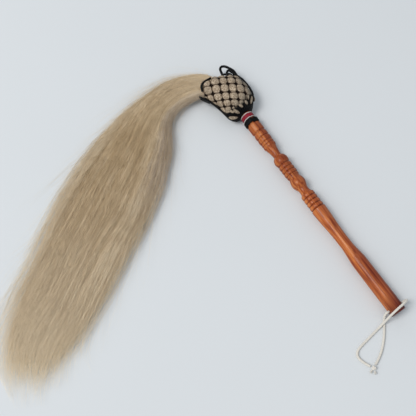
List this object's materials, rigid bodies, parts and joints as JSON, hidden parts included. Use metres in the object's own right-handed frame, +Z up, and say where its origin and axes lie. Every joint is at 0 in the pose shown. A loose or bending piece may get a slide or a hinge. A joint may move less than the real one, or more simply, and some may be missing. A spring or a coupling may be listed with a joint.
{
  "type": "fly whisk",
  "caption": "Horsehair fly whisk lying on its side: turned varnished handle, woven head, long flowing hair and a knotted wrist cord.",
  "frame": {"origin": "centre of the handle's flat butt", "axes": "+X out of the butt along the handle, +Z up from the surface that the whisk lies on, hair towards -Y"},
  "size_m": [0.5477, 0.5117, 0.0371],
  "materials": {
    "varnished_wood": "glossy varnish",
    "black_cord": "woven cord",
    "red_thread": "wound thread",
    "white_thread": "wound thread",
    "ivory_weave": "plump woven cords",
    "flaxen_hair": "combed horsehair",
    "waxed_thread": "waxed",
    "cotton_cord": "soft twisted cotton"
  },
  "bodies": {
    "whisk": {"handle": "varnished_wood", "collar_cord": "black_cord", "lower_white_thread": "white_thread", "red_thread_band": "red_thread", "upper_white_thread": "white_thread", "hair_roots": "flaxen_hair", "root_binding": "waxed_thread", "woven_cover": "ivory_weave", "head_padding": "black_cord", "neck_gather": "black_cord", "right_edge_cord": "black_cord", "left_edge_cord": "black_cord", "right_rim_cord": "black_cord", "left_rim_cord": "black_cord", "rim_loop": "black_cord", "corner_tab": "black_cord", "wrist_cord_over": "cotton_cord", "wrist_cord_under": "cotton_cord", "wrist_cord_in_hole": "cotton_cord", "wrist_knot": "cotton_cord", "frayed_end_long": "cotton_cord", "frayed_end_short": "cotton_cord"},
    "hair_root": {"hair_throat": "flaxen_hair"},
    "hair_tail": {"hair_tail": "flaxen_hair"}
  },
  "joints": [
    {"name": "tail_swing", "type": "hinge", "parent": "whisk", "child": "hair_root", "pos_m": [-0.4497, -0.01892, 0.0011], "axis": [0, 0, 1], "range_deg": [-25, 12]},
    {"name": "tail_lift", "type": "hinge", "parent": "hair_root", "child": "hair_tail", "pos_m": [-0.47258, -0.078, -0.0005], "axis": [-1, 0, 0], "range_deg": [0, 50]}
  ]
}
